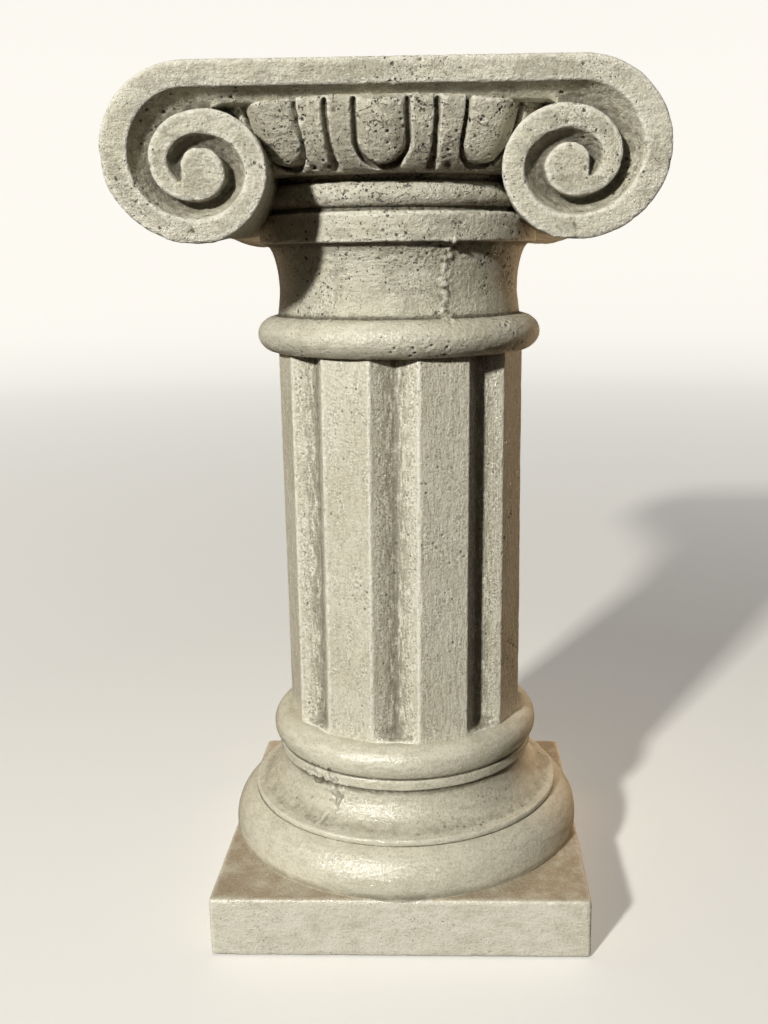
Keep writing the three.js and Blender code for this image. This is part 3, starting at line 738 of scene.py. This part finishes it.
def ball(name, place, radii):
    obj = addObject(name, bpy.data.meshes.new(name))
    work = bmesh.new()
    bmesh.ops.create_uvsphere(work, u_segments=40, v_segments=28, radius=1)
    size = Matrix.Diagonal(Vector(radii).to_4d() * mm)
    size[3][3] = 1
    bmesh.ops.transform(work, matrix=Matrix.Translation(Vector(place) * mm) @ size, verts=work.verts)
    work.to_mesh(obj.data)
    work.free()
    return obj


def makeEggs(values):
    piece = turnedPiece("eggAndDart", ovoloProfile(values, 0), values["columns"], values["rowStep"])
    core = turnedPiece("ovoloCore", ovoloProfile(values, values["depth"]), values["columns"], values["rowStep"])
    half, tip, top = values["halfWidth"], values["tip"], values["top"]
    spring = tip + values["tipRise"]
    far, near = -(values["spread"] + 8), -90
    reach = values["reach"]
    egg = ball("egg", (0, reach - values["radius"] - values["crown"], top),
               (values["crownWidth"], reach, values["crownRise"]))
    form = rowsObject("eggForm", [[(x, y, z) for x, z in tongue(half, spring, tip, top)] for y in (far, near)])
    combine(egg, form, "INTERSECT")
    outline = tongue(half + values["line"], spring, tip - values["line"], top + 2)
    outline += list(reversed(tongue(half, spring, tip, top + 2)))
    lines = rowsObject("eggLines", [[(x, y, z) for x, z in outline] for y in (far, near)])
    pitch = math.pi / values["count"]
    w = values["dart"] / 2
    foot = values["bottom"]
    slot = [(1.9 * w, foot - 6), (1.5 * w, foot + 5), (w, foot + 14), (w, top + 2)]
    slot += [(-x, z) for x, z in reversed(slot)]
    rows = []
    for y in (far, near):
        rows.append([(x * math.cos(pitch) - y * math.sin(pitch), x * math.sin(pitch) + y * math.cos(pitch), z)
                     for x, z in slot])
    dart = rowsObject("dart", rows)
    combine(lines, dart, "UNION")
    runTree(piece, carveEggs, {"Egg": egg, "Lines": lines, "Core": core, "Count": values["count"],
                               "Stone": castStoneSkin})
    drop(egg, form, lines, dart, core)
    evenGrid(piece, values["voxel"])
    spots = spreadHead(places(piece), values)
    spots[:, 0] += values["shift"]
    setPlaces(piece, spots)
    for x, y, z, radius in values["holes"]:
        hole = ball("hole", (x, y, z), (radius, 2 * radius, radius))
        combine(piece, hole, "DIFFERENCE")
        drop(hole)
    return aged(evenGrid(piece, values["voxel"]), values["age"])


# Capital: a slab that rolls up into a volute at each end, with a scooped channel along the band
capitalSet = {"face": 175, "slabBottom": 731, "top": 760, "shift": -1.6, "edge": 4.0, "edgeDepth": 2.0, "waist": 7.0,
              "tuck": 14, "floor": 157, "fade": 6, "overrun": 6, "voxel": 1.45, "triangles": 190000,
              "age": {"Soften": 2, "Seed": 6.0, "Wobble": 0.7, "Dents": 1.3, "Dent Size": 8, "Pits": 1.5,
                      "Chips": 1.1, "Grime": 0.55},
              "rimLines": (8, 17, 28), "rimDepth": 1.4, "rimWidth": 3.5, "rollTop": (722, 700),
              "cracks": (((-148, 640), (-149, 636), (-146, 631), (-147, 624)), ((-153, 658), (-147, 656)),
                         ((-149, 636), (-153, 633)), ((144, 641), (146, 634), (145, 630), (148, 622))),
              "crackDepth": 1.8, "crackWidth": 1.3}
bandOuter = [(150, 756), (214.5, 694), (146, 629), (90, 678), (139, 725), (181, 689), (147, 657), (121.5, 678),
             (141, 697), (156, 684), (154, 671)]  # ends of the band's quarter turns, inwards to the eye
bandInner = [(150, 741), (197, 692), (146, 643.5), (106, 678), (141, 707.5), (166.5, 687), (154, 671)]
quarters, quarterSteps = 4, 20


def bandPoint(ends, place):
    index = min(int(place), len(ends) - 2)
    angle = (place - index) * math.pi / 2
    (fromX, fromZ), (toX, toZ) = ends[index], ends[index + 1]
    if index % 2 == 0:
        return (fromX + (toX - fromX) * math.sin(angle), toZ + (fromZ - toZ) * math.cos(angle))
    return (toX + (fromX - toX) * math.cos(angle), fromZ + (toZ - fromZ) * math.sin(angle))


def capitalBody(values):
    half = [bandPoint(bandOuter, i / quarterSteps) for i in range(quarters * quarterSteps + 1)]
    half.append((bandOuter[quarters][0] - values["tuck"], values["slabBottom"]))
    outline = np.array(half + [(-x, z) for x, z in reversed(half)])
    ahead = np.roll(outline, -1, axis=0) - np.roll(outline, 1, axis=0)
    away = np.stack([-ahead[:, 1], ahead[:, 0]], axis=1)
    away /= np.linalg.norm(away, axis=1)[:, None]
    if away[np.argmax(outline[:, 1]), 1] < 0:  # outwards is up along the top
        away = -away
    edge, face = values["edge"], values["face"]
    inner = face - edge
    back = values["edgeDepth"]
    stations = [(-face + back * (1 - math.cos(a)), edge * math.sin(a)) for a in np.linspace(0, math.pi / 2, 6)]
    stations += [(y, edge) for y in np.linspace(-inner, inner, 27)[1:-1]]
    stations += [(-y, out) for y, out in reversed(stations[:6])]
    eye = (bandOuter[quarters + 4][0], bandOuter[quarters + 3][1])
    rows = []
    along = np.arange(len(half)) / quarterSteps
    inside = 1 - 0.85 * smooth(along, 2.1, 2.7)  # the edge hardly swells on the inner side
    swell = np.concatenate([inside, inside[::-1]])[:, None]
    for y, out in stations:
        line = outline + away * out * swell
        middle = max(0, 1 - (y / inner) ** 2)
        fromEye = np.stack([np.abs(line[:, 0]) - eye[0], line[:, 1] - eye[1]], axis=1)
        fromEye /= np.linalg.norm(fromEye, axis=1)[:, None]
        low = np.clip((values["top"] - line[:, 1]) / (values["top"] - eye[1]), 0, 1)
        squeeze = values["waist"] * middle * low
        x = line[:, 0] - np.sign(line[:, 0]) * fromEye[:, 0] * squeeze
        z = line[:, 1] - fromEye[:, 1] * squeeze
        rows.append([(px, y, pz) for px, pz in zip(x, z)])
    return rowsObject("voluteCapital", rows)


# the right front half of the channel: a scoop with a gentle outer slope and a steep inner wall
def channelCutter(values, side, front):
    face, floor = values["face"], values["floor"]
    outside = face + values["overrun"]
    spiral = len(bandInner) - 1
    rows = []
    for place in [*np.linspace(-1, -0.02, 16), *np.linspace(0, spiral - 0.05, spiral * 22)]:
        if place < 0:
            along = (1 + place) * 1.04 - 0.04
            outer = (bandInner[0][0] * along, bandInner[0][1])
            inner = (bandOuter[quarters][0] * along, bandOuter[quarters][1])
        else:
            outer, inner = bandPoint(bandInner, place), bandPoint(bandOuter, place + quarters)
        depth = face - floor - values["fade"] * max(place, 0) / spiral
        depth *= 1 - 0.8 * float(smooth(place, spiral - 1.2, spiral))  # shallow at its tip
        section = [(0, outside)]
        for t in np.linspace(0, 1, 12):
            section.append((t, face - depth * math.sin(min(t / 0.8, 1) * math.pi / 2) ** 0.8))
        section.append((1, outside))
        row = []
        for t, y in section:
            x = outer[0] + (inner[0] - outer[0]) * t
            z = outer[1] + (inner[1] - outer[1]) * t
            row.append((side * x, front * y, z))
        rows.append(row)
    return rowsObject("channelCutter", rows)


def makeCapital(values):
    piece = capitalBody(values)
    for side in (-1, 1):
        for front in (-1, 1):
            cutter = channelCutter(values, side, front)
            combine(piece, cutter, "DIFFERENCE")
            drop(cutter)
    evenGrid(piece, values["voxel"])
    spots, facing = places(piece), normals(piece)
    back = values["face"] - np.abs(spots[:, 1])
    onRoll = smooth(np.abs(facing[:, 1]), 0.5, 0.2) * smooth(spots[:, 2], *values["rollTop"])
    for line in values["rimLines"]:
        sink = values["rimDepth"] * np.clip(1 - ((back - line) / values["rimWidth"]) ** 2, 0, 1)
        spots -= facing * (sink * onRoll)[:, None]
    front = np.clip(-facing[:, 1] * 2 - 0.4, 0, 1)
    for line in values["cracks"]:
        nearest = np.full(len(spots), np.inf)
        for start, end in zip(line[:-1], line[1:]):
            start, run = np.array(start, dtype=float), np.subtract(end, start)
            along = np.clip(((spots[:, ::2] - start) @ run) / (run @ run), 0, 1)
            nearest = np.minimum(nearest, np.linalg.norm(spots[:, ::2] - start - along[:, None] * run, axis=1))
        sink = values["crackDepth"] * np.clip(1 - nearest / values["crackWidth"], 0, 1)
        spots -= facing * (sink * front)[:, None]
    spots[:, 0] += values["shift"]
    setPlaces(piece, spots)
    return aged(piece, values["age"])


# each piece stays under 200,000 triangles, and all together under a million
def thinned(piece, most):
    corners = sum(len(p.vertices) - 2 for p in piece.data.polygons)
    if corners > most:
        modifier = piece.modifiers.new("thin", "DECIMATE")
        modifier.ratio = most / corners
        modifier.use_collapse_triangulate = True
        settle(piece)
    return piece


pieces = {}
for make, values in ((makePlinth, plinthSet), (makeBase, baseSet), (makeShaft, shaftSet), (makeNeck, neckSet),
                     (makeEggs, eggSet), (makeCapital, capitalSet)):
    piece = make(values)
    print(piece.name, "made", len(piece.data.polygons))
    pieces[piece.name] = thinned(piece, values["triangles"])

for name, piece in pieces.items():
    piece.data.polygons.foreach_set("use_smooth", [True] * len(piece.data.polygons))
    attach(piece, "root")
    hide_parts("column")
    print("finished", name, len(piece.data.polygons))

# Floor and light
stageSet = {"floor": "#e4e2dd", "sky": "#f6efe4", "skyStrength": 0.13, "ground": "#b98a5c", "groundStrength": 0.03,
            "keyTurn": 28.5, "keyRise": 25, "keyFar": 6.0, "keySize": 0.36, "keyPower": 430, "keyColour": "#fffdf6",
            "warmColour": "#ffdfbd", "warmPower": (14.0, 42.0), "warmTurn": 142, "warmFar": 1.6, "warmHeight": 0.3,
            "warmSize": 0.7, "backColour": "#ffffff", "backPower": 25, "backPlace": (-0.6, 2.7, 0.75), "backSize": 1.2,
            "aim": (0, 0, 0.42), "wall": 7.0, "bend": 2.5, "high": 6.0, "columns": 96, "glowSpan": (0.8, 5.5),
            "floorGlow": 0.3, "wallGlow": 0.92, "skySpan": (-0.35, 0.5)}


def addStage(values):
    wall, bend, columns = values["wall"], values["bend"], values["columns"]
    line = [(wall - bend + bend * math.sin(a), bend - bend * math.cos(a)) for a in np.linspace(0, math.pi / 2, 25)]
    line.append((wall, values["high"]))
    turns = np.linspace(0, 2 * math.pi, columns, endpoint=False)
    points = [(radius * math.cos(t), radius * math.sin(t), z) for radius, z in line for t in turns]
    faces = [tuple(range(columns))]
    for i in range(len(line) - 1):
        for j in range(columns):
            k = (j + 1) % columns
            faces.append((i * columns + k, i * columns + j, (i + 1) * columns + j, (i + 1) * columns + k))
    paperMesh = bpy.data.meshes.new("floor")
    paperMesh.from_pydata(points, [], faces)
    paperMesh.polygons.foreach_set("use_smooth", [True] * len(faces))
    paper = bpy.data.materials.new("matt pale paper")  # a round sweep of paper, lit through from behind
    paper.use_nodes = True
    paper.cycles.emission_sampling = "NONE"
    tree = paper.node_tree
    place = addNode(tree, "ShaderNodeTexCoord").outputs["Object"]
    away = addNode(tree, "ShaderNodeVectorMath", {"operation": "LENGTH"}, {0: place}).outputs["Value"]
    near, far = values["glowSpan"]
    glow = addNode(tree, "ShaderNodeMapRange", None,
                   {0: away, 1: near, 2: far, 3: values["floorGlow"], 4: values["wallGlow"]}).outputs[0]
    shader = tree.nodes["Principled BSDF"]
    shader.inputs["Base Color"].default_value = toLinear(values["floor"])
    shader.inputs["Emission Color"].default_value = toLinear(values["floor"])
    shader.inputs["Roughness"].default_value = 0.9
    tree.links.new(glow, shader.inputs["Emission Strength"])
    paperMesh.materials.append(paper)
    floor = addObject("floor", paperMesh)
    floor.visible_diffuse = floor.visible_glossy = False  # the paper throws no light back on the stone
    world = bpy.data.worlds.new("studio")
    world.use_nodes = True
    scene.world = world
    tree = world.node_tree
    way = addNode(tree, "ShaderNodeTexCoord").outputs["Generated"]
    rise = addNode(tree, "ShaderNodeSeparateXYZ", None, {0: way}).outputs["Z"]
    low, high = values["skySpan"]
    share = addNode(tree, "ShaderNodeMapRange", None, {0: rise, 1: low, 2: high}).outputs[0]
    glow = {key: [c * values[key + "Strength"] for c in toLinear(values[key])] for key in ("ground", "sky")}
    dome = addNode(tree, "ShaderNodeMix", {"data_type": "RGBA"}, {"Factor": share, 6: glow["ground"], 7: glow["sky"]})
    tree.links.new(dome.outputs[2], tree.nodes["Background"].inputs["Color"])

    def lamp(name, place, aim, width, power, colour):
        data = bpy.data.lights.new(name, "AREA")
        data.size = width
        data.energy = power
        data.color = toLinear(colour)[:3]
        light = addObject(name, data)
        light.location = place
        light.visible_camera = False
        light.rotation_euler = (Vector(aim) - Vector(place)).to_track_quat("-Z", "Y").to_euler()
        return light

    middle = values["aim"]
    turn, rise = math.radians(values["keyTurn"]), math.radians(values["keyRise"])
    far = values["keyFar"]
    place = (-far * math.cos(rise) * math.sin(turn), -far * math.cos(rise) * math.cos(turn),
             middle[2] + far * math.sin(rise))
    lamp("key", place, middle, values["keySize"], values["keyPower"], values["keyColour"])
    stones = bpy.data.collections.new("stones")  # the edge and back lamps light the column alone
    for piece in pieces.values():
        stones.objects.link(piece)
    turn, far = math.radians(values["warmTurn"]), values["warmFar"]
    for name, side, power in zip(("warmLeft", "warmRight"), (-1, 1), values["warmPower"]):
        place = (side * far * math.sin(turn), -far * math.cos(turn), values["warmHeight"])
        edge = lamp(name, place, middle, values["warmSize"], power, values["warmColour"])
        edge.light_linking.receiver_collection = stones
        edge.visible_glossy = False
    back = lamp("backSoft", values["backPlace"], middle, values["backSize"], values["backPower"],
                values["backColour"])
    back.light_linking.receiver_collection = stones
    back.visible_glossy = False


addStage(stageSet)
print("stage lit")
